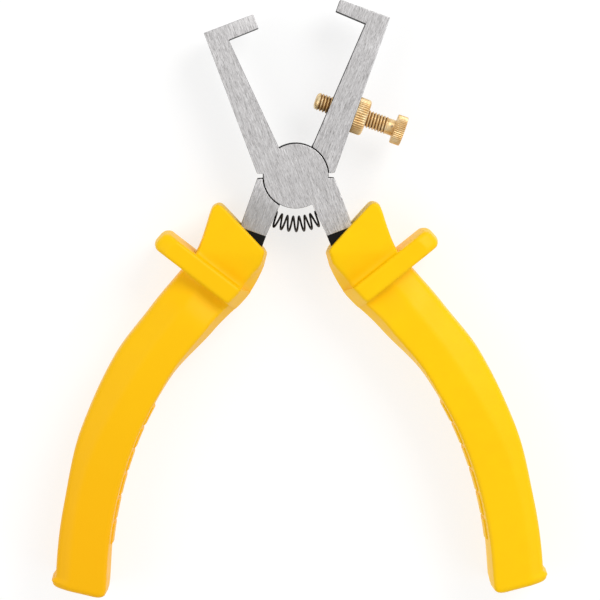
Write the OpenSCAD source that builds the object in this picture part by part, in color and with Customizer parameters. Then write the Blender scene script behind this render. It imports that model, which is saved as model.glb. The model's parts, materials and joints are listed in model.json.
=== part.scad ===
// Wire stripper with adjusting screw, 160 mm class.
// The pivot axis stands along Z, the jaws point along +Y, and the tool lies on
// the flats of its finger guards and grip ends at z = 0.
// Each lever is drawn in its own frame: pivot at the origin, outer jaw edge
// parallel to Y. The rear lever is the front one turned over about Y.

/* [Levers] */
// Angle that each lever is turned from parallel when the tool is at rest
rest_angle = 20.15; // [18:0.05:22]
// Thickness of both levers together
lever_t = 9; // [8:0.5:10]
// Distance from the pivot to the outer edge of jaw arm and tang
edge_x = 9.1; // [9:0.05:9.4]
// Radius of the round lap at the pivot
lap_r = 8.3; // [8.1:0.05:8.4]
// Gap between a lap and the other lever's cut-out
lap_gap = 0.3; // [0.2:0.05:0.35]
// Polar angle of the stop shoulder on the jaw arm
arm_stop = 24.6; // [24.2:0.1:25]
// Polar angle of the stop shoulder on the tang
tang_stop = 23.8; // [23.4:0.1:24]

/* [Jaws] */
// Height of the front lever's hook above the pivot
front_hook_top = 42.5; // [41.5:0.1:42.6]
// Height of the rear lever's hook above the pivot
rear_hook_top = 46.25; // [46.2:0.05:47]
// Reach of a hook past the lever's centre line
hook_reach = 4.4; // [4:0.1:4.8]
// Width of the arm just below the hook
arm_w_top = 5.3; // [5:0.1:5.6]
// Width of the arm where it meets the lap
arm_w_root = 7.6; // [7.3:0.1:7.8]
// Depth of the wire notch in a hook's end
notch_d = 2; // [1.5:0.1:2.2]

/* [Grips] */
// Overall length of a grip along its centre line
grip_l = 109.9; // [107:0.1:112]
// Width of a grip at its lower end
grip_w = 13.9; // [13.6:0.1:14.6]
// Thickness of a grip at its middle
grip_t = 18; // [17:0.5:18.4]
// Thickness of finger guard and grip end, which the tool lies on
guard_t = 20.4; // [19.6:0.2:21]
// Reach of the finger guard from the grip's centre line
guard_reach = 17.3; // [16.6:0.1:17.6]
// Length of a raised finger pad
pad_l = 5.9; // [5:0.1:6.2]

/* [Adjusting screw] */
// Height of the screw axis above the pivot
screw_y = 20; // [19:0.1:21]
// Outer diameter of the thread
thread_d = 4.6; // [4.4:0.1:5]
// Pitch of the thread
thread_p = 0.8; // [0.7:0.05:0.9]
// Diameter of the lock nut
nut_d = 9.6; // [9:0.1:10]
// Thickness of the lock nut
nut_t = 3.15; // [2.8:0.05:3.4]
// Diameter of the knurled head
head_d = 7.7; // [7.2:0.1:8.2]
// Thickness of the knurled head
head_t = 2.7; // [2.4:0.1:3]

/* [Spring and rivet] */
// Outer diameter of the opening spring
spring_d = 4.4; // [4:0.1:4.6]
// Wire diameter of the opening spring
wire_d = 0.55; // [0.45:0.05:0.6]
// Diameter of the rivet's shank
rivet_d = 5; // [4.5:0.1:5.5]

/* [Hidden] */
$fn = 64;

steel = "silver";
black = [0.08, 0.08, 0.09];
yellow = [0.98, 0.79, 0.06];
brass = [0.82, 0.66, 0.38];

pivot_y = 31.5;             // pivot in front of the middle of the whole tool
mid_z = guard_t / 2;        // lap plane above the surface that the tool lies on
half_t = lever_t / 2;
lap_play = 0.05;            // oil gap between the two laps
fit = 0.05;                 // radial clearance of a running fit
big = 60;                   // longer than anything that it cuts
root_y = 8.2;               // where the arm's inner edge meets the lap
front_under = [3.9, 3.75];  // heights of the front hook at its root and its tip
rear_under = [3.55, 3.1];
notch_y = [20, 60];         // a notch's cutter runs from below the hook to above it

// ---- rivet
rivet_head_d = 8;
rivet_sink = 1.4;           // depth of the head's seat in the rear lap
rivet_crown = 0.5;          // how far the head stands proud
rivet_bevel = 0.7;

// ---- grip centre line: straight neck, bend outwards, long bend back, straight end
neck_top = -13;             // where the centre line starts
neck_x = 8.6;
neck_l = 8;
out_r = 30;
out_angle = 26;
back_r = 110;
back_angle = 42;
out_l = out_r * out_angle * PI / 180;
back_l = back_r * back_angle * PI / 180;
s_out = neck_l + out_l;
s_back = s_out + back_l;

function side(h) = [cos(h), sin(h)];
function along(h) = [sin(h), -cos(h)];
function clamp01(t) = min(1, max(0, t));
function ease(t) = let (c = clamp01(t)) c * c * (3 - 2 * c);
function heading(s) =
    s < neck_l ? 0 :
    s < s_out ? (s - neck_l) / out_r * 180 / PI :
    s < s_back ? out_angle - (s - s_out) / back_r * 180 / PI :
    out_angle - back_angle;
function neck_end() = [neck_x, neck_top - neck_l];
function out_point(h) = neck_end() + out_r * side(0) - out_r * side(h);
function back_point(h) = out_point(out_angle) - back_r * side(out_angle) + back_r * side(h);
function centre(s) =
    s < neck_l ? [neck_x, neck_top - s] :
    s < s_out ? out_point(heading(s)) :
    s < s_back ? back_point(heading(s)) :
    back_point(out_angle - back_angle) + (s - s_back) * along(out_angle - back_angle);

// ---- grip section along the centre line
section_n = 24;             // points round a section
ring_step = 3;              // distance between sections
neck_half_t = 6.8;
body_half_t = grip_t / 2 - 0.4;
guard_s = 19.5;             // where the guard crosses the centre line
upper_swell = 0.75;         // extra half width of the upper body
upper_fade = [30, 65];      // it fades out between these distances along the centre line
neck_swell = 0.6;           // extra half width of the neck
neck_fade = [14, 30];
palm_swell = 1.4;           // the upper body bulges to the inner side
palm_rise = [0, 20];
palm_fade = [31, 48];
back_swell = 0.9;           // the middle bulges to the outer side
back_rise = [36, 50];
back_fade = [70, 88];
ear_w = 0.9;                // how far the neck's top flares to the outer side
ear_fade = [4.2, 16.2];
body_rise = [guard_s, guard_s + 8];     // the thickness grows below the guard
belly_rise = [30, 60];
square_power = 5;           // the neck's section is nearly square, the body's is rounder
round_power = 3;
round_rise = [guard_s, guard_s + 10];
foot_l = 3;                 // flat stretch at the end, which the tool lies on
flare_rise = [grip_l - foot_l - 28, grip_l - foot_l];
lip_w = 1;                  // how far the end lip stands out on the outer side
lip_l = 3.2;
lip_rise = [grip_l - lip_l, grip_l - lip_l / 2];
end_tilt = 10;              // the end face is turned this much from square
tilt_rise = [grip_l - 14, grip_l];
end_round = 0.12;
round_end = [grip_l - 1.2, grip_l];
function risen(s, span) = ease((s - span[0]) / (span[1] - span[0]));
function faded(s, span) = 1 - risen(s, span);
function tilt(s) = heading(s) + end_tilt * risen(s, tilt_rise);
function outward(s) =
    lip_w * risen(s, lip_rise) + ear_w * faded(s, ear_fade)
    + back_swell * risen(s, back_rise) * faded(s, back_fade);
function inward(s) = palm_swell * risen(s, palm_rise) * faded(s, palm_fade);
function upper(s) = 1 - clamp01((s - upper_fade[0]) / (upper_fade[1] - upper_fade[0]));
function half_w(s) =
    (grip_w / 2 + upper_swell * upper(s) + neck_swell * faded(s, neck_fade))
    * (1 - end_round * risen(s, round_end)) + (outward(s) + inward(s)) / 2;
function half_h(s) =
    neck_half_t + (body_half_t - neck_half_t) * risen(s, body_rise)
    + (grip_t / 2 - body_half_t) * risen(s, belly_rise)
    + (guard_t / 2 - grip_t / 2) * risen(s, flare_rise);
function power(s) = square_power + (round_power - square_power) * risen(s, round_rise);
function superellipse(a, w, h, p) =
    [sign(cos(a)) * w * pow(abs(cos(a)), 2 / p), sign(sin(a)) * h * pow(abs(sin(a)), 2 / p)];
function middle(s) = centre(s) + (outward(s) - inward(s)) / 2 * side(tilt(s));
function ring(s) =
    [for (i = [0 : section_n - 1])
        let (q = superellipse(360 * (i + 0.5) / section_n, half_w(s), half_h(s), power(s)))
        let (xy = middle(s) + q[0] * side(tilt(s))) [xy[0], xy[1], q[1]]];

// ---- finger guard, pads and slanted neck
guard_plate = 6.1;
guard_in = 7.6;             // reach of the guard to the inner side
guard_corner = 3.5;
guard_nose = 2.2;           // rounding of the guard seen from the front
guard_tilt = 18;
guard_mid = [13.1, -31.5];
guard_shift = -1.4;
pads = 6;
pad_pitch = 6.9;
pad_first = 59.5;
pad_proud = 0.45;
pad_block = 3;              // depth of a pad's block, most of it inside the grip
pad_h = 9;
slant = 27;
slant_corner = [0.6, -20.9];

// ---- steel core inside the grip, and the sleeve over it
core_start = 4.2;           // distance along the centre line where the bare steel ends
core_end = 92;
core_shift = 3;             // how far the tang lies inside the neck's middle
core_half = 2.65;
core_taper = 0.35;
core_step = 4;              // distance between the outline's points
core_tip = 1;               // how far the core's end reaches past its last point
pocket_start = -4;          // the grip's pocket runs out through the slanted neck
sleeve_wall = 0.9;
function core_centre(s) =
    centre(s) - core_shift * (1 - ease((s - core_start) / 34)) * side(heading(s));
function core_half_w(s) = core_half - core_taper * clamp01((s - 30) / 60);
function core_edge(s, way, extra) = core_centre(s) + way * (core_half_w(s) + extra) * side(heading(s));

// ---- opening spring, lying on an arc about the pivot
spring_arc = 12.5;
coils = 8;
coil_steps = 14;
wire_sides = 6;
seat_d = 1.2;               // depth of the spring seat in a tang
seat_play = 0.4;
seat_run = 2;               // how far the seat's cutter starts outside the tang
spring_sink = 4;            // angle by which the spring runs into each seat
tang_in_x = 1.37;           // inner corner of the tang beside the lap
tang_in_y = -8.55;
tang_low_x = 2.1;           // inner edge where the bare steel ends
bare_y = neck_top - core_start;
spring_face_x = 1.68;       // inner edge of the tang at the spring's height
spring_half_angle = rest_angle + asin(spring_face_x / spring_arc) + spring_sink;
coil_r = (spring_d - wire_d) / 2;
function coil_point(t) =
    let (a = spring_half_angle * (2 * t - 1), b = 360 * coils * t, r = spring_arc + coil_r * cos(b))
    [r * sin(a), -r * cos(a), coil_r * sin(b)];
function unit(v) = v / norm(v);
function wire_ring(t) =
    let (d = unit(coil_point(t + 0.001) - coil_point(t - 0.001)))
    let (a = spring_half_angle * (2 * t - 1), b = 360 * coils * t)
    let (u = [sin(a) * cos(b), -cos(a) * cos(b), sin(b)], v = cross(d, u))
    [for (k = [0 : wire_sides - 1])
        let (c = 360 * k / wire_sides)
        coil_point(t) + wire_d / 2 * (cos(c) * u + sin(c) * v)];

// ---- screw, in the rear lever's frame before it is turned over
arm_in_x = 2.4;             // inner edge of the arm at the screw
tip_out = 4.2;              // how far the screw's tip stands inside the arm
neck_gap = 5.85;            // thread between lock nut and plain neck
plain_l = 1.7;
plain_d = 4.2;
spigot_d = 3.2;
spigot_l = 2;
screw_tip_x = arm_in_x - tip_out;
thread_end_x = edge_x + nut_t + neck_gap;
head_x = thread_end_x + plain_l;
thread_h = 0.42;            // depth of the thread
thread_lead = 0.4;          // bevel at the screw's tip
crest_from = 0.42;          // share of the pitch where the crest starts and ends
crest_to = 0.58;
overlap = 0.01;             // joined pieces run into each other by this much
knurls = 44;
knurl_h = 0.28;
nut_bevel = 0.6;
head_bevel = 0.35;

module place() translate([0, pivot_y, mid_z]) children();
module front_frame() place() rotate([0, 0, rest_angle]) children();
module rear_frame() place() rotate([0, 180, 0]) rotate([0, 0, rest_angle]) children();

// Jaw arm with its hook, which is under[0] high at its root and under[1] high at its tip
module jaw_outline(top, under)
    polygon([
        [0, 0],
        [-edge_x, edge_x * tan(arm_stop)],
        [-edge_x, top],
        [hook_reach, top],
        [hook_reach, top - under[1]],
        [arm_w_top - edge_x, top - under[0]],
        [arm_w_root - edge_x, root_y]]);

module tang_outline()
    polygon([
        [0, 0],
        [edge_x, -edge_x * tan(tang_stop)],
        [edge_x, bare_y],
        [tang_low_x, bare_y],
        [tang_in_x, tang_in_y]]);

// The core's outline from s = first down, widened by extra at its sides and its end
module core_outline(extra, first)
    polygon([
        for (s = [first : core_step : core_end]) core_edge(s, 1, extra),
        core_edge(core_end, 1, extra) + (extra + core_tip) * along(heading(core_end)),
        core_edge(core_end, -1, extra) + (extra + core_tip) * along(heading(core_end)),
        for (s = [core_end : -core_step : first + core_step / 2]) core_edge(s, -1, extra),
        core_edge(first, -1, extra)]);

module centred(t) linear_extrude(t, center = true) children();

// One forging: jaw arm, round lap on the upper half, tang and core
module forging(top, under, rivet_bore) {
    difference() {
        union() {
            difference() {
                union() {
                    centred(lever_t) jaw_outline(top, under);
                    centred(lever_t) tang_outline();
                }
                translate([0, 0, lap_play / 2 - big]) cylinder(r = lap_r + lap_gap, h = big);
            }
            translate([0, 0, lap_play / 2]) cylinder(r = lap_r, h = half_t - lap_play / 2);
            centred(lever_t - 2 * sleeve_wall) core_outline(0, core_start);
        }
        cylinder(d = rivet_bore, h = big, center = true);
        wire_notch();
        spring_seat();
    }
}

// V notch across a hook's end, its root on the tool's middle plane
module wire_notch()
    translate([hook_reach, notch_y[1], 0]) rotate([90, 0, 0])
        linear_extrude(notch_y[1] - notch_y[0])
            polygon([[-notch_d, 0], [1, notch_d + 1], [1, -notch_d - 1]]);

// Blind bore in the tang's inner face that holds the end of the spring
module spring_seat() {
    a = asin(spring_face_x / spring_arc);
    translate([spring_arc * sin(a), -spring_arc * cos(a), 0]) rotate([0, 0, a])
        translate([-seat_run, 0, 0]) rotate([0, 90, 0])
            cylinder(d = spring_d + seat_play, h = seat_run + seat_d);
}

module front_lever()
    color(steel) front_frame() forging(front_hook_top, front_under, rivet_d);

module rear_lever()
    color(steel) rear_frame() difference() {
        forging(rear_hook_top, rear_under, rivet_d + 2 * fit);
        countersink(fit);
        translate([-2 * edge_x, screw_y, 0]) rotate([0, 90, 0])
            cylinder(d = thread_d + 2 * fit, h = 2 * edge_x);
    }

// Seat of the rivet's formed head in the back of the rear lap
module countersink(extra)
    translate([0, 0, half_t - rivet_sink])
        cylinder(d1 = rivet_d + 2 * extra, d2 = rivet_head_d + 2 * extra, h = rivet_sink + 0.001);

// Shank flush with the front face, head formed into the rear lap's countersink
module pivot_rivet()
    color(steel) place() rotate([0, 180, 0]) {
        cylinder(d = rivet_d, h = lever_t, center = true);
        countersink(0);
        translate([0, 0, half_t])
            cylinder(d1 = rivet_head_d, d2 = rivet_head_d - 2 * rivet_bevel, h = rivet_crown);
    }

module opening_spring() {
    rings = coils * coil_steps;
    points = [for (i = [0 : rings]) each wire_ring(i / rings)];
    sides = [for (i = [0 : rings - 1]) for (k = [0 : wire_sides - 1])
        let (n = (k + 1) % wire_sides, a = i * wire_sides, b = a + wire_sides)
        [a + k, a + n, b + n, b + k]];
    start = [for (k = [wire_sides - 1 : -1 : 0]) k];
    finish = [for (k = [0 : wire_sides - 1]) rings * wire_sides + k];
    color(black) place() polyhedron(points, concat([start], sides, [finish]), convexity = 10);
}

// Everything on the screw's axis: x runs outwards, the origin is on the lever's middle
module on_screw_axis()
    rear_frame() translate([0, screw_y, 0]) rotate([0, -90, 0]) children();

// Ridged thread from z = from to z = to, as a profile turned about the axis
module thread(from, to) {
    root_r = thread_d / 2 - thread_h;
    first = from + thread_lead;
    ridges = floor((to - first) / thread_p);
    rotate_extrude() polygon([
        [0, from],
        [root_r - thread_lead, from],
        [root_r, first],
        for (i = [0 : ridges - 1]) each [
            [root_r, first + i * thread_p],
            [thread_d / 2, first + (i + crest_from) * thread_p],
            [thread_d / 2, first + (i + crest_to) * thread_p]],
        [root_r, first + ridges * thread_p],
        [root_r, to],
        [0, to]]);
}

module adjusting_screw()
    color(brass) on_screw_axis() {
        thread(screw_tip_x, thread_end_x);
        translate([0, 0, thread_end_x]) cylinder(d = plain_d, h = plain_l);
        translate([0, 0, head_x - overlap]) cylinder(d = spigot_d, h = spigot_l + overlap);
    }

// Straight-knurled disc with bevelled rims, standing on z = 0
module knurled(d, t, bevel) {
    intersection() {
        linear_extrude(t) polygon([for (i = [0 : 2 * knurls - 1])
            let (a = 180 * i / knurls, r = d / 2 - (i % 2) * knurl_h) [r * cos(a), r * sin(a)]]);
        rotate_extrude() polygon([
            [0, 0], [d / 2 - bevel, 0], [d / 2 + bevel, 2 * bevel],
            [d / 2 + bevel, t - 2 * bevel], [d / 2 - bevel, t], [0, t]]);
    }
}

module screw_head()
    color(brass) on_screw_axis() translate([0, 0, head_x]) difference() {
        knurled(head_d, head_t, head_bevel);
        translate([0, 0, -1]) cylinder(d = spigot_d + 2 * fit, h = 1 + spigot_l + fit);
    }

module lock_nut()
    color(brass) on_screw_axis() translate([0, 0, edge_x]) difference() {
        knurled(nut_d, nut_t, nut_bevel);
        translate([0, 0, -1]) cylinder(d = thread_d + 2 * fit, h = nut_t + 2);
    }

module inner_sleeve() {
    difference() {
        centred(lever_t) core_outline(sleeve_wall, core_start);
        centred(lever_t - 2 * sleeve_wall) core_outline(0, core_start);
    }
}

module right_inner_sleeve() color(black) front_frame() inner_sleeve();
module left_inner_sleeve() color(black) rear_frame() inner_sleeve();

// Lofted body of a grip, from its neck to its end lip
module grip_body() {
    stations = concat([for (s = [0 : ring_step : grip_l - lip_l]) s],
        [for (i = [0 : 6]) grip_l - lip_l * (1 - i / 6)]);
    last = len(stations) - 1;
    points = [for (s = stations) each ring(s)];
    sides = [for (j = [0 : last - 1]) for (i = [0 : section_n - 1])
        let (n = (i + 1) % section_n, a = j * section_n, b = a + section_n)
        [a + i, b + i, b + n, a + n]];
    start = [for (i = [0 : section_n - 1]) i];
    finish = [for (i = [section_n - 1 : -1 : 0]) last * section_n + i];
    polyhedron(points, concat([start], sides, [finish]), convexity = 10);
}

// Finger guard: a round-cornered plate across the grip
module finger_guard()
    translate([guard_mid[0], guard_mid[1], 0]) rotate([0, 0, guard_tilt])
        translate([(guard_reach - guard_in) / 2 + guard_shift, 0]) intersection() {
            rotate([90, 0, 0]) linear_extrude(guard_plate, center = true)
                rounded(guard_reach + guard_in, guard_t, guard_corner);
            centred(guard_t) rounded(guard_reach + guard_in, guard_plate, guard_nose);
        }

module rounded(w, h, r) {
    square([w, h - 2 * r], center = true);
    square([w - 2 * r, h], center = true);
    for (x = [-1, 1], y = [-1, 1]) translate([x * (w / 2 - r), y * (h / 2 - r)]) circle(r);
}

// Raised pads under the fingertips, along the inner edge
module finger_pads()
    for (i = [0 : pads - 1]) {
        s = pad_first + i * pad_pitch;
        q = middle(s) - (half_w(s) + pad_proud - pad_block / 2) * side(heading(s));
        translate([q[0], q[1], 0]) rotate([0, 0, heading(s)])
            cube([pad_block, pad_l, pad_h], center = true);
    }

// The neck is cut off on a slant that rises to the outer side
module neck_slant()
    translate([slant_corner[0], slant_corner[1], -big / 2]) rotate([0, 0, slant])
        translate([-big / 2, 0, 0]) cube([big, big / 2, big]);

module grip()
    difference() {
        union() {
            grip_body();
            finger_guard();
            finger_pads();
        }
        neck_slant();
        centred(lever_t) core_outline(sleeve_wall, pocket_start);
    }

module right_grip() color(yellow) front_frame() grip();
module left_grip() color(yellow) rear_frame() grip();

front_lever();
rear_lever();
pivot_rivet();
opening_spring();
adjusting_screw();
screw_head();
lock_nut();
right_inner_sleeve();
left_inner_sleeve();
right_grip();
left_grip();
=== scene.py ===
"""Looks for the wire stripper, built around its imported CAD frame.

Shapes are worked out in millimetres in a lever's own frame (pivot at the origin, outer edge of the
jaw arm parallel to Y, x outwards) and placed by FRONT or REAR, the turned-over copy for the rear lever.
"""
import json
import math

import bmesh
import bpy
from mathutils import Matrix, Vector

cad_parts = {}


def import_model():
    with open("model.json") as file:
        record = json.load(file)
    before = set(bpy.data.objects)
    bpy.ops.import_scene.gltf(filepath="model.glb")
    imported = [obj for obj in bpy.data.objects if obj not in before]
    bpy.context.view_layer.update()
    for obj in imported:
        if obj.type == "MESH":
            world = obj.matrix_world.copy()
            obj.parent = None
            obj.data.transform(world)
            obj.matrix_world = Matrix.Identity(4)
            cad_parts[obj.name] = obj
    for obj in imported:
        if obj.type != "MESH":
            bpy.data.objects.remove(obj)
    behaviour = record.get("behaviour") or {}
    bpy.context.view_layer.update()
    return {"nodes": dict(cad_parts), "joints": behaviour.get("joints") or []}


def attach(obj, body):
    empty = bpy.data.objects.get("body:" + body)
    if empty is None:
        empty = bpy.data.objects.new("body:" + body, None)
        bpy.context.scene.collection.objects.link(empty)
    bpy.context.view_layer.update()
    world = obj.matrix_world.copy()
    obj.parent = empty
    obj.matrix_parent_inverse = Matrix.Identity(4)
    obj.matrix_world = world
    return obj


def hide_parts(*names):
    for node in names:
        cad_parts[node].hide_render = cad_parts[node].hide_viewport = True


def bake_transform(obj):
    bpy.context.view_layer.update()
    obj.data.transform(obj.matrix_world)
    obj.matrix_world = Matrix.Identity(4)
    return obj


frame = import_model()

MM = 0.001
joints = {j["name"]: j for j in frame["joints"]}
PIVOT = Vector(joints["jaw_hinge"]["pos_m"])
SCREW_AXIS = Vector(joints["screw_travel"]["axis"]).normalized()
REST_ANGLE = math.atan2(-SCREW_AXIS.y, SCREW_AXIS.x)
PLACE = Matrix.Translation(PIVOT) @ Matrix.Scale(MM, 4)
FRONT = PLACE @ Matrix.Rotation(REST_ANGLE, 4, "Z")
REAR = PLACE @ Matrix.Rotation(math.pi, 4, "Y") @ Matrix.Rotation(REST_ANGLE, 4, "Z")


# ---------------------------------------------------------------- small helpers
def clamp01(t):
    return min(1.0, max(0.0, t))


def ease(t):
    c = clamp01(t)
    return c * c * (3 - 2 * c)


def lerp(a, b, t):
    return a + (b - a) * t


def risen(s, start, length):
    """0 up to start, 1 from start + length on, with a smooth rise between."""
    return ease((s - start) / length)


def faded(s, start, length):
    return 1 - risen(s, start, length)


def spread(first, last, step):
    """Evenly spaced values from first to last, no further apart than step."""
    n = max(1, math.ceil((last - first) / step - 1e-9))
    return [first + (last - first) * i / n for i in range(n + 1)]


def add_piece(name, points, faces, matrix, mat, body, sharp=35, stands_for=()):
    """A mesh object from points in a local frame, riding on a body."""
    mesh = bpy.data.meshes.new(name)
    mesh.from_pydata([matrix @ Vector(p) for p in points], [], faces)
    bm = bmesh.new()
    bm.from_mesh(mesh)
    bmesh.ops.recalc_face_normals(bm, faces=bm.faces)
    bm.to_mesh(mesh)
    bm.free()
    return finish_piece(name, mesh, mat, body, sharp, stands_for)


def finish_piece(name, mesh, mat, body, sharp, stands_for=()):
    for poly in mesh.polygons:
        poly.use_smooth = True
    mesh.set_sharp_from_angle(angle=math.radians(sharp))
    mesh.materials.clear()
    mesh.materials.append(mat)
    obj = bpy.data.objects.new(name, mesh)
    bpy.context.scene.collection.objects.link(obj)
    if body:
        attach(obj, body)
    if stands_for:
        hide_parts(*stands_for)
    return obj


def loft(rings, capped=True):
    """Points and faces of a tube through closed rings of equal length."""
    n = len(rings[0])
    points = [p for ring in rings for p in ring]
    faces = []
    for j in range(len(rings) - 1):
        for i in range(n):
            k = (i + 1) % n
            faces.append((j * n + i, j * n + k, (j + 1) * n + k, (j + 1) * n + i))
    if capped:
        faces.append(tuple(range(n))[::-1])
        faces.append(tuple(range((len(rings) - 1) * n, len(rings) * n)))
    return points, faces


def join_parts(parts):
    """One point and face list from several."""
    points, faces = [], []
    for more_points, more_faces in parts:
        start = len(points)
        points += more_points
        faces += [tuple(start + i for i in f) for f in more_faces]
    return points, faces


def fillet_outline(corners, arc_n=6, edge_n=9):
    """A closed outline through rounded corners, each (x, y, radius), always with as many points."""
    count = len(corners)
    longest = 0.48
    arcs = []
    for i, (x, y, radius) in enumerate(corners):
        here = Vector((x, y))
        before = Vector(corners[i - 1][:2]) - here
        after = Vector(corners[(i + 1) % count][:2]) - here
        turn = math.pi - before.angle(after)
        reach = radius * math.tan(turn / 2)
        reach = min(reach, longest * before.length, longest * after.length)
        start = here + before.normalized() * reach
        end = here + after.normalized() * reach
        arc = []
        for k in range(arc_n + 1):
            t = k / arc_n
            a = start.lerp(here, t)
            b = here.lerp(end, t)
            arc.append(a.lerp(b, t))
        arcs.append(arc)
    outline = []
    for i, arc in enumerate(arcs):
        outline += arc
        following = arcs[(i + 1) % count][0]
        outline += [arc[-1].lerp(following, k / edge_n) for k in range(1, edge_n)]
    return outline


# ---------------------------------------------------------------- materials
MIX_COLOUR_A = 6
MIX_COLOUR_B = 7
MIX_COLOUR_OUT = 2
GROUND_FROM = 3.5 * MM
GROUND_TO = 3.9 * MM
TANG_DARK_FROM = PIVOT.y - 2.0 * MM
TANG_DARK_TO = PIVOT.y - 8.0 * MM


class Shader:
    """A Principled material with short calls for the nodes used here."""

    def __init__(self, name, metallic=0.0, **fixed):
        self.mat = bpy.data.materials.new(name)
        self.mat.use_nodes = True
        self.tree = self.mat.node_tree
        self.bsdf = self.tree.nodes["Principled BSDF"]
        self.bsdf.inputs["Metallic"].default_value = metallic
        for socket, value in fixed.items():
            self.bsdf.inputs[socket.replace("_", " ")].default_value = value
        self.coords = self.tree.nodes.new("ShaderNodeTexCoord")
        self.place = self.coords.outputs["Object"]

    def node(self, kind, **inputs):
        made = self.tree.nodes.new("ShaderNode" + kind)
        for socket, value in inputs.items():
            self.feed(made.inputs[socket.replace("_", " ")], value)
        return made

    def feed(self, socket, value):
        if isinstance(value, bpy.types.NodeSocket):
            self.tree.links.new(value, socket)
        else:
            socket.default_value = value

    def turned(self, angle, size):
        """Object coordinates turned by angle about Z and measured in grains of the given size."""
        mapping = self.node("Mapping", Vector=self.place)
        mapping.vector_type = "TEXTURE"
        mapping.inputs["Rotation"].default_value = (0, 0, angle)
        mapping.inputs["Scale"].default_value = size
        return mapping.outputs["Vector"]

    def noise(self, vector, scale=1.0, detail=2.0, roughness=0.5):
        made = self.node("TexNoise", Vector=vector, Scale=scale, Detail=detail, Roughness=roughness)
        return made.outputs["Fac"]

    def ramp(self, value, *stops):
        made = self.node("ValToRGB", Fac=value)
        elements = made.color_ramp.elements
        while len(elements) < len(stops):
            elements.new(0.5)
        for element, (place, colour) in zip(elements, stops):
            element.position = place
            element.color = (*colour, 1)
        return made.outputs["Color"]

    def mix(self, factor, a, b):
        """Colour a where factor is 0, going over to colour b where it is 1."""
        made = self.tree.nodes.new("ShaderNodeMix")
        made.data_type = "RGBA"
        self.feed(made.inputs["Factor"], factor)
        self.feed(made.inputs[MIX_COLOUR_A], a)
        self.feed(made.inputs[MIX_COLOUR_B], b)
        return made.outputs[MIX_COLOUR_OUT]

    def remap(self, value, low, high, to_low, to_high):
        made = self.node("MapRange", Value=value)
        limits = {"From Min": low, "From Max": high, "To Min": to_low, "To Max": to_high}
        for socket, number in limits.items():
            made.inputs[socket].default_value = number
        return made.outputs["Result"]

    def share(self, value, low, high, most=1.0):
        """0 where the value is low, going up to most where it is high."""
        return self.remap(value, low, high, 0.0, most)

    def math(self, kind, a, b=0.0):
        made = self.tree.nodes.new("ShaderNodeMath")
        made.operation = kind
        self.feed(made.inputs[0], a)
        self.feed(made.inputs[1], b)
        return made.outputs[0]

    def attribute(self, name):
        made = self.tree.nodes.new("ShaderNodeAttribute")
        made.attribute_name = name
        return made.outputs["Fac"]

    def along_tool(self, start, end):
        """0 at y = start and 1 at y = end, in metres of the rest pose."""
        split = self.node("SeparateXYZ", Vector=self.place)
        return self.share(split.outputs["Y"], start, end)

    def facing(self, axis):
        """How far the surface faces along an axis of the object, either way."""
        split = self.node("SeparateXYZ", Vector=self.coords.outputs["Normal"])
        return self.math("ABSOLUTE", split.outputs[axis])

    def finish(self, colour, roughness, height, distance, strength=1.0):
        bump = self.node("Bump", Height=height, Distance=distance, Strength=strength)
        self.feed(self.bsdf.inputs["Base Color"], colour)
        self.feed(self.bsdf.inputs["Roughness"], roughness)
        self.feed(self.bsdf.inputs["Normal"], bump.outputs["Normal"])
        return self.mat


def rgb(text):
    """Linear colour from a hex colour such as C8C6C6."""
    values = [int(text[i:i + 2], 16) / 255 for i in (0, 2, 4)]
    return tuple(v / 12.92 if v <= 0.04045 else ((v + 0.055) / 1.055) ** 2.4 for v in values)


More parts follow.
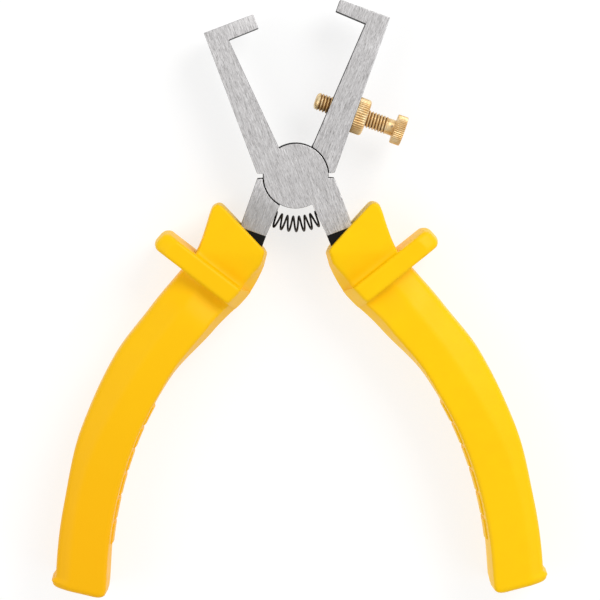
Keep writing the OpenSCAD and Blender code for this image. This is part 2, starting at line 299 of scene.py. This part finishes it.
def ground_steel(name, angle, tang_darkening):
    """Steel with flats ground lengthwise, fine dark flecks, and near-black side faces and faces near the
    mid-plane: partly a black forged finish, partly painted shade and painted dark reflections, most of all
    on the shaded ledge of the widened rear lap.

    The last argument is how far the tang's flats go over to a darker grey.
    """
    s = Shader(name, metallic=0.8)
    fine = s.noise(s.turned(angle, (0.00017, 0.0013, 0.00017)), detail=3, roughness=0.75)
    long = s.noise(s.turned(angle, (0.0003, 0.008, 0.0003)), detail=2)
    cloud = s.noise(s.place, scale=110, detail=3)
    fleck = s.noise(s.turned(angle, (0.0005, 0.0011, 0.0005)), detail=2)
    grain = s.math("ADD", s.math("MULTIPLY", fine, 0.75), s.math("MULTIPLY", long, 0.25))
    flat = s.ramp(grain, (0.34, rgb("848281")), (0.45, rgb("C1BFBF")), (0.54, rgb("D8D6D6")),
                  (0.66, rgb("F7F6F6")))
    flat = s.mix(s.share(cloud, 0.35, 0.65, 0.25), flat, (*rgb("C3C1C1"), 1))
    flat = s.mix(s.share(fleck, 0.72, 0.8, 0.7), flat, (*rgb("5E5B59"), 1))
    # Darker grey towards the tang, by as much as the last argument gives.
    darker_tang = s.math("MULTIPLY", s.along_tool(TANG_DARK_FROM, TANG_DARK_TO), tang_darkening)
    flat = s.mix(darker_tang, flat, (*rgb("8E8C8A"), 1))
    # Near-black for every face that is not a ground flat: the black forged finish, also standing as painted
    # shade on the rear lap's ledge and as painted dark reflections in the side faces.
    black_sides_and_shade = s.ramp(s.noise(s.place, scale=900, detail=4), (0.35, rgb("0B0A0A")), (0.65, rgb("211E1C")))
    # Faces near the mid-plane get the near-black even where they face Z, which paints the ledge of the rear
    # lap dark as shade.
    height = s.node("SeparateXYZ", Vector=s.place).outputs["Z"]
    from_middle = s.math("ABSOLUTE", s.math("SUBTRACT", height, PIVOT.z))
    outermost = s.share(from_middle, GROUND_FROM, GROUND_TO)
    ground = s.math("MULTIPLY", s.share(s.facing("Z"), 0.75, 0.96), outermost)
    s.feed(s.bsdf.inputs["Metallic"], s.share(ground, 0.0, 1.0, 0.8))
    off_ground = s.remap(ground, 0.0, 1.0, 0.25, 0.0)
    rough = s.math("ADD", s.remap(grain, 0.38, 0.62, 0.6, 0.46), off_ground)
    return s.finish(s.mix(ground, black_sides_and_shade, flat), rough, grain, 0.00003, 0.6)


def spring_steel():
    s = Shader("oiled_spring_steel", metallic=0.7)
    speck = s.noise(s.place, scale=1600, detail=3)
    colour = s.ramp(speck, (0.35, rgb("1B1714")), (0.62, rgb("332C27")), (0.78, rgb("5A5049")))
    return s.finish(colour, s.remap(speck, 0.3, 0.7, 0.3, 0.5), speck, 0.00002)


def brass(name):
    """Turned brass: fine rings about the axis, with painted shade darkening the thread roots and knurl
    grooves, read from a mesh attribute.
    """
    s = Shader(name, metallic=0.7)
    blotch = s.noise(s.place, scale=420, detail=3)
    fine = s.noise(s.place, scale=2600, detail=2)
    colour = s.ramp(blotch, (0.3, rgb("DDB070")), (0.5, rgb("ECCB94")), (0.7, rgb("F8E3B8")))
    # Painted shade: the thread roots and knurl grooves are darkened towards a deep brown.
    root_shade = s.attribute("root_shade")
    colour = s.mix(s.share(root_shade, 0.2, 0.9, 0.9), colour, (*rgb("7A4E22"), 1))
    colour = s.mix(s.share(s.attribute("dark_spot"), 0.0, 1.0, 0.9), colour, (*rgb("6A625C"), 1))
    return s.finish(colour, s.remap(fine, 0.3, 0.7, 0.36, 0.5), fine, 0.00002, 0.5)


def black_vinyl():
    s = Shader("black_vinyl", Specular_IOR_Level=0.2)
    mottle = s.noise(s.place, scale=700, detail=3)
    colour = s.ramp(mottle, (0.35, rgb("020203")), (0.7, rgb("08080A")))
    return s.finish(colour, s.remap(mottle, 0.3, 0.7, 0.45, 0.62), mottle, 0.00004, 0.6)


def yellow_plastic(name, light, dark, end_shade):
    """Moulded plastic: slight flow marks, a very fine textured skin, and painted shade making it more amber
    towards the end.
    """
    s = Shader(name, Specular_IOR_Level=0.14)
    flow = s.noise(s.place, scale=38, detail=2)
    mottle = s.noise(s.place, scale=240, detail=3)
    skin = s.noise(s.place, scale=2400, detail=2)
    colour = s.ramp(flow, (0.3, rgb(dark)), (0.7, rgb(light)))
    # Painted shade: more amber towards the grip's end, where less light falls.
    colour = s.mix(s.along_tool(0.02, -0.06), colour, (*rgb(end_shade), 1))
    colour = s.mix(s.share(mottle, 0.3, 0.7, 0.2), colour, (*rgb("F8BB00"), 1))
    scuff = s.share(s.noise(s.place, scale=75, detail=5), 0.6, 0.75, 0.1)
    rough = s.math("ADD", s.remap(skin, 0.3, 0.7, 0.38, 0.48), scuff)
    return s.finish(colour, rough, skin, 0.000025, 0.6)


STEEL_FRONT = ground_steel("ground_steel_front", REST_ANGLE, 0.0)
STEEL_REAR = ground_steel("ground_steel_rear", -REST_ANGLE, 0.45)
SPRING = spring_steel()
BRASS = brass("turned_brass")
BLACK = black_vinyl()
# Lit and shaded copies of one plastic: the left grip's colours are painted darker and more amber as shade,
# as the light comes from the right.
YELLOW_RIGHT = yellow_plastic("yellow_plastic_right", "FFCF00", "FDC900", "FECA00")
YELLOW_LEFT_SHADED = yellow_plastic("yellow_plastic_left_shaded", "FECC00", "FBC600", "F8B700")


# ---------------------------------------------------------------- steel
RIVET_R = 2.5
EDGE_BREAK = 0.16
LAP_R = 8.3
REAR_LAP_R = 8.52
WELD = 0.002 * MM
FLUSH_R = (RIVET_R + 2) * MM
HALF_STACK = 4.5
HEAD_R = 4.0
HEAD_CROWN = 0.5
HEAD_SINK = 1.4


def forging(node, name, mat, body, lap_r=None):
    """A lever with its edges broken, except round the rivet where the face is ground flush.

    lap_r is the radius that its lap disc is widened to.
    """
    bm = bmesh.new()
    bm.from_mesh(frame["nodes"][node].data)
    bmesh.ops.remove_doubles(bm, verts=bm.verts, dist=WELD)
    bmesh.ops.dissolve_limit(bm, angle_limit=math.radians(0.6), verts=bm.verts, edges=bm.edges)
    for vert in bm.verts:
        out = Vector((vert.co - PIVOT)[:2])
        on_rim = abs(out.length - LAP_R * MM) < 0.01 * MM
        if lap_r and on_rim:
            out *= lap_r / LAP_R
            vert.co = (PIVOT.x + out.x, PIVOT.y + out.y, vert.co.z)
    sharp = []
    broken_from = math.radians(38)
    for edge in bm.edges:
        middle = (edge.verts[0].co + edge.verts[1].co) / 2 - PIVOT
        at_rivet = Vector(middle[:2]).length < FLUSH_R
        if len(edge.link_faces) == 2 and not at_rivet and edge.calc_face_angle() > broken_from:
            sharp.append(edge)
    bmesh.ops.bevel(bm, geom=sharp, offset=EDGE_BREAK * MM, offset_type="OFFSET", segments=2,
                    profile=0.6, affect="EDGES", clamp_overlap=False)
    mesh = bpy.data.meshes.new(name)
    bm.to_mesh(mesh)
    bm.free()
    return finish_piece(name, mesh, mat, body, 25, (node,))


forging("front_lever", "front_lever_forging", STEEL_FRONT, "front_side")
forging("rear_lever", "rear_lever_forging", STEEL_REAR, "rear_side", REAR_LAP_R)


def turned_rings(profile, count=96):
    """Rings about Z for a profile of (radius, height)."""
    return [[(r * math.cos(2 * math.pi * i / count), r * math.sin(2 * math.pi * i / count), z)
             for i in range(count)] for r, z in profile]


def rivet():
    """Shank ground flush in front, domed head with a peened centre behind."""
    back = -HALF_STACK
    dome = []
    for i in range(1, 7):
        a = i * math.pi / 12
        shrink = 0.25 * (1 - math.cos(a)) + 0.7 * (i / 6) ** 2
        dome.append((HEAD_R - shrink, back - HEAD_CROWN * math.sin(a)))
    profile = [(RIVET_R * 0.5, HALF_STACK), (RIVET_R, HALF_STACK), (RIVET_R, 0)]
    profile += [(RIVET_R, back + HEAD_SINK), (HEAD_R, back)] + dome
    profile += [(1.4, back - HEAD_CROWN), (1.0, back - 0.38), (0.4, back - 0.34)]
    points, faces = loft(turned_rings(profile))
    add_piece("pivot_rivet_turned", points, faces, PLACE, STEEL_FRONT, "front_side",
              25, ("pivot_rivet",))


rivet()


# ---------------------------------------------------------------- opening spring
SPRING_ARC = 12.5
SPRING_D = 4.4
WIRE_R = 0.275
COILS = 8
SPRING_FACE_X = 1.68
SPRING_SINK = math.radians(4)
SPRING_HALF = REST_ANGLE + math.asin(SPRING_FACE_X / SPRING_ARC) + SPRING_SINK


def spring_point(t):
    a = SPRING_HALF * (2 * t - 1)
    b = 2 * math.pi * COILS * t
    coil_r = SPRING_D / 2 - WIRE_R
    r = SPRING_ARC + coil_r * math.cos(b)
    return Vector((r * math.sin(a), -r * math.cos(a), coil_r * math.sin(b)))


def opening_spring():
    """A round-wire coil along an arc about the pivot, between the two levers."""
    steps = COILS * 40
    sides = 10
    rings = []
    for j in range(steps + 1):
        t = j / steps
        tangent = (spring_point(t + 1e-4) - spring_point(t - 1e-4)).normalized()
        a = SPRING_HALF * (2 * t - 1)
        axis = Vector((math.cos(a), math.sin(a), 0))
        u = tangent.cross(axis).normalized()
        v = tangent.cross(u)
        rings.append([spring_point(t) + WIRE_R * (math.cos(c) * u + math.sin(c) * v)
                      for c in (2 * math.pi * k / sides for k in range(sides))])
    points, faces = loft(rings)
    obj = add_piece("coil_spring", points, faces, PLACE, SPRING, None,
                    60, ("opening_spring",))
    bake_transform(obj)


opening_spring()


# ---------------------------------------------------------------- adjusting screw and lock nut
SCREW_Y = 20.0
EDGE_X = 9.1
ON_SCREW = REAR @ Matrix.Translation((0, SCREW_Y, 0)) @ Matrix.Rotation(-math.pi / 2, 4, "Y")
THREAD_D = 4.6
THREAD_P = 0.8
THREAD_H = 0.45
NUT_D = 9.6
NUT_T = 3.12
NUT_PLAY = 0.03
HEAD_D = 7.7
HEAD_T = 2.7
TIP_X = -1.8
NOSE_L = 1.1
THREAD_END = EDGE_X + 9.0
PLAIN_L = 1.7
PLAIN_D = 4.2
STUD_SUNK = 1.5
DARK_SPOT_Z = THREAD_END + 0.55 * PLAIN_L
DARK_SPOT_ANGLE = 2.95
DARK_SPOT_LONG = 0.42
DARK_SPOT_ROUND = 0.2
BLUNT = 0.42
KNURLS = 44
KNURL_H = 0.26
FACE_STEP = 0.35
BORE_BREAK = 0.25
CENTRE_R = 0.4


def mark(obj, name, values):
    layer = obj.data.attributes.new(name, "FLOAT", "POINT")
    layer.data.foreach_set("value", values)


def stud():
    """Rounded tip, a true helical thread that runs out, and a plain neck with one dark spot."""
    around = 40
    heights = spread(TIP_X, THREAD_END + PLAIN_L + STUD_SUNK, THREAD_P / 10)
    rings, root_shade, dark_spot = [], [], []
    top = THREAD_D / 2
    for z in heights:
        ring = []
        for i in range(around):
            a = 2 * math.pi * i / around
            phase = (z / THREAD_P - a / (2 * math.pi)) % 1
            off_crest = abs(phase - 0.5)
            crest = clamp01(1.25 - 2.5 * off_crest)
            run_out = ease((THREAD_END - z) / (0.7 * THREAD_P))
            start = ease((z - TIP_X - NOSE_L / 2) / THREAD_P)
            groove = (1 - crest) * THREAD_H * run_out * start
            r = lerp(PLAIN_D / 2, top, run_out) - groove
            nose = clamp01((z - TIP_X) / NOSE_L)
            r *= lerp(BLUNT, 1.0, math.sqrt(1 - (1 - nose) ** 2))
            ring.append((r * math.cos(a), r * math.sin(a), z))
            # Painted shade for the thread roots, as deep as the groove.
            root_shade.append(groove / THREAD_H)
            spot = math.hypot((z - DARK_SPOT_Z) / DARK_SPOT_LONG, (a - DARK_SPOT_ANGLE) / DARK_SPOT_ROUND)
            dark_spot.append(clamp01(1.3 - spot) if z > THREAD_END else 0.0)
        rings.append(ring)
    points, faces = loft(rings)
    obj = add_piece("threaded_stud", points, faces, ON_SCREW, BRASS, "screw",
                    60, ("adjusting_screw",))
    mark(obj, "root_shade", root_shade)
    mark(obj, "dark_spot", dark_spot)


def knurled(name, diameter, thickness, near, far, bore, start, body, node):
    """A straight-knurled thumb disc whose knurls run out at its faces.

    near and far are the rounding radii of its two rims; a bore of 0 makes it solid.
    """
    per_knurl = 6
    around = KNURLS * per_knurl
    edge_r = diameter / 2
    top = thickness - far
    quarter = [i * math.pi / 8 for i in range(5)]
    profile = [(edge_r - near - FACE_STEP, 0, 0)]
    profile += [(edge_r - near * (1 - math.sin(a)), near * (1 - math.cos(a)), math.sin(a)) for a in quarter]
    profile += [(edge_r, z, 1.0) for z in spread(near, top, 0.4)[1:-1]]
    profile += [(edge_r - far * (1 - math.sin(a)), top + far * math.cos(a), math.sin(a))
                for a in quarter[::-1]]
    profile += [(edge_r - far - FACE_STEP, thickness, 0)]
    if bore:
        profile = [(bore, 0, 0)] + profile
        profile += [(bore + BORE_BREAK, thickness, 0), (bore, thickness - BORE_BREAK, 0)]
    else:
        profile = [(CENTRE_R, 0, 0)] + profile + [(diameter / 4, thickness, 0), (CENTRE_R, thickness, 0)]
    rings, root_shade = [], []
    for r, z, depth in profile:
        ring = []
        for i in range(around):
            a = 2 * math.pi * i / around
            groove = abs(((i % per_knurl) / per_knurl) * 2 - 1)
            cut = KNURL_H * depth * groove ** 1.5
            ring.append(((r - cut) * math.cos(a), (r - cut) * math.sin(a), z))
            # Painted shade in the knurl grooves, deepest at their bottoms.
            root_shade.append(0.6 * depth * groove ** 2)
        rings.append(ring)
    points, faces = loft(rings, capped=not bore)
    if bore:
        n = around
        last = (len(rings) - 1) * n
        faces += [(i, last + i, last + (i + 1) % n, (i + 1) % n) for i in range(n)]
    matrix = ON_SCREW @ Matrix.Translation((0, 0, start))
    obj = add_piece(name, points, faces, matrix, BRASS, body, 50, (node,))
    mark(obj, "root_shade", root_shade)
    mark(obj, "dark_spot", [0.0] * len(points))


stud()
knurled("knurled_lock_nut", NUT_D, NUT_T, 0.15, 0.8, THREAD_D / 2 + 0.05, EDGE_X + NUT_PLAY,
        "nut", "lock_nut")
knurled("knurled_screw_head", HEAD_D, HEAD_T, 0.2, 0.25, 0, THREAD_END + PLAIN_L,
        "screw_knob", "screw_head")


# ---------------------------------------------------------------- grips
NECK_TOP = -13.0
NECK_X = 8.6
NECK_L = 8.0
OUT_R = 30.0
OUT_ANGLE = math.radians(26)
BACK_R = 110.0
BACK_ANGLE = math.radians(42)
S_OUT = NECK_L + OUT_R * OUT_ANGLE
S_BACK = S_OUT + BACK_R * BACK_ANGLE
GRIP_L = 109.9
GRIP_W = 13.9
MID_H = 9.0
GUARD_H = PIVOT.z / MM
GUARD_S = 19.5
GUARD_TILT = math.radians(18)
GUARD_OUT = 18.2
GUARD_HALF = 2.55
GUARD_ROUND = 1.9
GUARD_EDGE = 0.8
SLANT = math.radians(27)
SLANT_S = 3.82
EAR_R = 1.7
END_TILT = math.radians(10)
END_R = 2.6
LIP_L = 3.2
EAR_W = 0.9
FOOT_L = 3.0
FLARE_L = 28.0
BULGE_OUT = 0.9
BULGE_IN = 1.4
FILLET_ABOVE = 2.0
FILLET_BELOW = 1.0
SCOOP_SLOPE = 0.36
CREASE_AT = Vector((1.0, -21.5))
BELOW_CREASE = Vector((-0.3217, -0.9468))
HOLLOW_H = 2.0
END_CROWN = 0.9
PADS = 6
FIRST_PAD = 59.5
PAD_PITCH = 6.9


def side(h):
    return Vector((math.cos(h), math.sin(h)))


def along(h):
    return Vector((math.sin(h), -math.cos(h)))


def heading(s):
    if s < NECK_L:
        return 0.0
    if s < S_OUT:
        return (s - NECK_L) / OUT_R
    return OUT_ANGLE - (min(s, S_BACK) - S_OUT) / BACK_R


def centre(s):
    if s < NECK_L:
        return Vector((NECK_X, NECK_TOP - s))
    neck_end = Vector((NECK_X, NECK_TOP - NECK_L))
    bend = neck_end + OUT_R * side(0)
    if s < S_OUT:
        return bend - OUT_R * side(heading(s))
    back = bend - OUT_R * side(OUT_ANGLE) - BACK_R * side(OUT_ANGLE)
    point = back + BACK_R * side(heading(s))
    return point + max(0.0, s - S_BACK) * along(heading(s))


def tilt(s):
    """Which way a section lies: with the slanted neck top, the guard, square, then the slanted end."""
    h = heading(s)
    if s < GUARD_S:
        return lerp(SLANT, GUARD_TILT, risen(s, SLANT_S, 11))
    square = lerp(GUARD_TILT, h, risen(s, GUARD_S + 3, 9))
    return square + END_TILT * risen(s, GRIP_L - 14, 14)


def half_w(s):
    taper = 0.75 * (1 - clamp01((s - 30) / 35))
    return GRIP_W / 2 + taper + 0.6 * faded(s, 14, 16)


def outward(s):
    """Extra reach on the outer side: the flared neck, the bulging middle and the lip at the end."""
    lip = risen(s, GRIP_L - LIP_L, LIP_L / 2)
    bulge = BULGE_OUT * risen(s, 36, 14) * faded(s, 70, 18)
    return lip + EAR_W * faded(s, 9, 9) + bulge


def inward(s):
    """Extra reach on the inner side, where the palm of the grip bulges."""
    return BULGE_IN * risen(s, 0, 20) * faded(s, 31, 17)


def body_h(s):
    """Half thickness of the grip without its guard: hollowed on both sides of the guard."""
    if s < GUARD_S:
        return 7.7
    foot = (GUARD_H - MID_H) * risen(s, GRIP_L - FOOT_L - FLARE_L, FLARE_L)
    return 7.6 + risen(s, 22, 11) + 0.4 * risen(s, 34, 26) + foot


def rim(t, r):
    """Height gained on a rounded rim of radius r, at a distance t in from its face."""
    c = clamp01(t / r)
    return r * math.sqrt(1 - (1 - c) ** 2)


def ear_inset(d):
    """How far the ear's corner is rounded off at a distance d below the slanted top."""
    corner = math.pi / 2 - SLANT
    reach = EAR_R / math.tan(corner / 2)
    if d > reach * math.sin(corner):
        return 0.0
    return reach - d / math.tan(corner) - math.sqrt(2 * EAR_R * d - d * d)


def end_inset(t):
    """How far the grip end's inner corner is rounded off at a distance t before the end."""
    return END_R - rim(t, END_R)


def lifted(share):
    """Rise of a concave fillet, from 0 where it starts to 1 where it meets the guard."""
    return 1 - math.sqrt(1 - share ** 2)


def section(s, guard=0.0, inset=0.0, tip_inset=0.0, inner_inset=0.0):
    """Outline of the grip at s, as (across, height) with the outer side positive.

    guard is how far in from the guard's face the section lies, or zero off the guard.
    draft is how far the flats start in from the inner side, and facet_at and facet_drop are where
    and how far they fall off towards the outer side.
    """
    lean = math.cos(tilt(s) - heading(s))
    inner = half_w(s) / lean + inward(s)
    outer = half_w(s) / lean + outward(s)
    height = body_h(s)
    if guard:
        outer = GUARD_OUT - GUARD_ROUND + rim(guard, GUARD_ROUND)
        height = GUARD_H - GUARD_EDGE + rim(guard, GUARD_EDGE)
        draft = 3.1
        facet_at, facet_drop, facet_r = 0.78, 0.14, 2.5
        outer_in, outer_r = 0.6, 2.2
    elif s < GUARD_S:
        height += 1.6 * lifted(clamp01((s - GUARD_S + GUARD_HALF + FILLET_ABOVE) / FILLET_ABOVE))
        draft = 1.1 + 1.9 * risen(s, 6, 10)
        facet_at, facet_drop, facet_r = 0.93, 0.07, 5.0
        outer_in, outer_r = 0.25, 2.4
    else:
        height += 0.8 * lifted(clamp01((GUARD_S + GUARD_HALF + FILLET_BELOW - s) / FILLET_BELOW))
        draft = 2.4 - 2.0 * risen(s, 24, 30)
        facet_at = lerp(0.15, 0.5, risen(s, 45, 45))
        facet_drop = lerp(0.34, 0.16, risen(s, 40, 50))
        facet_r = 5.0
        outer_in, outer_r = 0.35, 2.4
    inner -= inset + inner_inset
    outer -= inset + tip_inset
    height -= inset
    upper = [(-inner + draft, height, 1.2), (facet_at * outer, height, facet_r),
             (outer - outer_in, height * (1 - facet_drop), outer_r)]
    lower = [(x, -y, r) for x, y, r in upper[::-1]]
    return fillet_outline([(-inner, 0, 4.0)] + upper + [(outer, 0, 4.0)] + lower)


def scoop(x, y):
    """How far the neck's flats are hollowed below a crease that crosses them to the guard's root."""
    from_crease = Vector((x, y)) - CREASE_AT
    return SCOOP_SLOPE * max(0.0, from_crease.dot(BELOW_CREASE))


def hollow(s, u):
    """How far the body's flats are hollowed just below the guard, most on the inner side."""
    return HOLLOW_H * faded(s, GUARD_S + GUARD_HALF, 9) * ease(0.7 - u / 12)


def grip_ring(s, outline, shift=0.0, swell=0.0):
    """An outline placed at s; shift moves it along the grip, swell only at the guard's mid-plane."""
    c = centre(s)
    across = side(tilt(s))
    down = along(tilt(s))
    ring = []
    for u, z in outline:
        move = shift + swell * (1 - (z / GUARD_H) ** 2)
        p = c + u * across + move * down
        if s < GUARD_S - GUARD_HALF + 0.01 and not swell:
            z *= 1 - scoop(p.x, p.y) / GUARD_H
        elif s > GUARD_S + GUARD_HALF:
            z *= 1 - hollow(s, u) / GUARD_H
        ring.append((p.x, p.y, z))
    return ring


def grip_body():
    face_up = GUARD_S - GUARD_HALF
    face_down = GUARD_S + GUARD_HALF
    rings = []
    rim_r = 0.6
    for d in (0.0, 0.04, 0.12, 0.25, 0.45, 0.7, 1.0, 1.4, 1.9, 2.4):
        s = SLANT_S + d / math.cos(SLANT)
        inset = rim_r - rim(d, rim_r)
        rings.append(grip_ring(s, section(s, inset=inset, tip_inset=ear_inset(d) - inset)))
    for s in spread(SLANT_S + 3.2, face_up - 2.0, 0.5) + spread(face_up - 1.8, face_up, 0.3):
        rings.append(grip_ring(s, section(s)))
    inside = [0.05, 0.2, 0.45, 0.75, 1.1, 1.6]
    for t in inside:
        rings.append(grip_ring(face_up + t, section(face_up + t, guard=t), swell=-0.45 * (1 - t / 2)))
    for t in inside[::-1]:
        rings.append(grip_ring(face_down - t, section(face_down - t, guard=t), swell=0.35 * (1 - t / 2)))
    for s in spread(face_down + 0.02, face_down + 1.0, 0.25) + spread(face_down + 2.0, GRIP_L - LIP_L, 1.3):
        rings.append(grip_ring(s, section(s)))
    end_r = 1.5
    for s in spread(GRIP_L - LIP_L + 0.3, GRIP_L - end_r, 0.3):
        rings.append(grip_ring(s, section(s, inner_inset=end_inset(GRIP_L - s))))
    for k in range(1, 7):
        a = k * math.pi / 12
        inset = end_r * (1 - math.cos(a))
        shift = end_r * (math.sin(a) - 1)
        crown = section(GRIP_L, inset=inset, inner_inset=max(0.0, end_inset(-shift) - inset))
        rings.append(grip_ring(GRIP_L, crown, shift=shift))
    for k in range(1, 6):
        share = 1 - k / 6
        smaller = [(u * share, z * share) for u, z in crown]
        rings.append(grip_ring(GRIP_L, smaller, shift=END_CROWN * (1 - share ** 2)))
    return loft(rings)


def finger_pads():
    """Raised pads on the inner edge, each with rounded rims."""
    pad_l = 5.9
    pad_h = 4.5
    proud = 0.45
    lean = 0.25
    root = 2.4
    rim_r = 0.35
    corner_r = 0.4
    parts = []
    near = [0.0, 0.08, 0.2, 0.35]
    stations = near + spread(0.9, pad_l - 0.9, 1.0) + [pad_l - t for t in near[::-1]]
    for i in range(PADS):
        middle = FIRST_PAD + PAD_PITCH * i
        rings = []
        for t in stations:
            edge = rim_r - rim(min(t, pad_l - t), rim_r)
            s = middle - pad_l / 2 + t
            low = -half_w(s) - inward(s) - proud + edge
            top = pad_h - edge
            corners = [(low, 0, 3.0), (low + lean, -top, corner_r), (low + root, -top, corner_r),
                       (low + root, top, corner_r), (low + lean, top, corner_r)]
            outline = fillet_outline(corners, arc_n=4, edge_n=3)
            c = centre(s)
            across = side(heading(s))
            rings.append([((c + u * across).x, (c + u * across).y, z) for u, z in outline])
        parts.append(loft(rings))
    return join_parts(parts)


SIDES = (
    ("right", FRONT, YELLOW_RIGHT, "front_side"),
    ("left", REAR, YELLOW_LEFT_SHADED, "rear_side"),
)
for name, matrix, mat, body in SIDES:
    points, faces = grip_body()
    add_piece(name + "_moulded_grip", points, faces, matrix, mat, body,
              32, (name + "_grip",))
    points, faces = finger_pads()
    add_piece(name + "_finger_pads", points, faces, matrix, mat, body, 40)
    sleeve = frame["nodes"][name + "_inner_sleeve"].data
    sleeve.materials.clear()
    sleeve.materials.append(BLACK)


# ---------------------------------------------------------------- stage, light and camera
FLOOR_DROP = 0.05 * MM
CAMERA_FAR = 0.65
CAMERA_COVERS = 0.1546
CAMERA_PITCH = math.radians(4.5)
CAMERA_ROLL = math.radians(-0.55)


def floor():
    bm = bmesh.new()
    bmesh.ops.create_grid(bm, x_segments=8, y_segments=8, size=4.0)
    mesh = bpy.data.meshes.new("floor")
    bm.to_mesh(mesh)
    bm.free()
    s = Shader("pale_floor")
    tone = s.noise(s.place, scale=3)
    colour = s.ramp(tone, (0.3, (0.29, 0.29, 0.29)), (0.7, (0.31, 0.31, 0.31)))
    s.bsdf.inputs["Emission Color"].default_value = (1, 1, 1, 1)
    s.bsdf.inputs["Emission Strength"].default_value = 0.72
    mesh.materials.append(s.finish(colour, s.remap(tone, 0, 1, 0.8, 0.9), tone, 0.0001))
    obj = bpy.data.objects.new("floor", mesh)
    obj.location.z = -FLOOR_DROP
    bpy.context.scene.collection.objects.link(obj)


def soft_light(name, place, size, power):
    data = bpy.data.lights.new(name, "AREA")
    data.shape = "RECTANGLE"
    data.size, data.size_y = size
    data.energy = power
    obj = bpy.data.objects.new(name, data)
    obj.location = place
    aim = PIVOT - Vector((0, 0.03, 0)) - Vector(place)
    obj.rotation_euler = aim.to_track_quat("-Z", "Y").to_euler()
    bpy.context.scene.collection.objects.link(obj)


def camera():
    """Looks straight down from above the jaws, tilted just enough to centre the tool."""
    data = bpy.data.cameras.new("camera")
    data.sensor_width = 36
    data.lens = data.sensor_width * CAMERA_FAR / CAMERA_COVERS
    data.clip_start = 0.01
    obj = bpy.data.objects.new("camera", data)
    target = PIVOT + Vector((0.75, -31.9, 4.5)) * MM
    eye = Vector((-0.0070, 0.051, target.z + CAMERA_FAR * math.cos(CAMERA_PITCH)))
    backward = (eye - target).normalized()
    right = Vector((0, 1, 0)).cross(backward).normalized()
    up = backward.cross(right)
    facing = Matrix((right, up, backward)).transposed().to_4x4()
    obj.matrix_world = Matrix.Translation(eye) @ facing @ Matrix.Rotation(CAMERA_ROLL, 4, "Z")
    bpy.context.scene.collection.objects.link(obj)
    bpy.context.scene.camera = obj


def world():
    made = bpy.data.worlds.new("soft_white")
    made.use_nodes = True
    made.node_tree.nodes["Background"].inputs["Color"].default_value = (1, 1, 1, 1)
    made.node_tree.nodes["Background"].inputs["Strength"].default_value = 0.55
    bpy.context.scene.world = made
    bpy.context.scene.view_settings.view_transform = "Standard"


floor()
soft_light("key", (0.45, 0.5, 0.65), (0.45, 0.45), 3.9)
soft_light("fill", (-0.6, 0.0, 0.6), (0.6, 0.6), 1.7)
soft_light("side", (0.6, -0.3, 0.5), (0.5, 0.5), 0.8)
world()
camera()
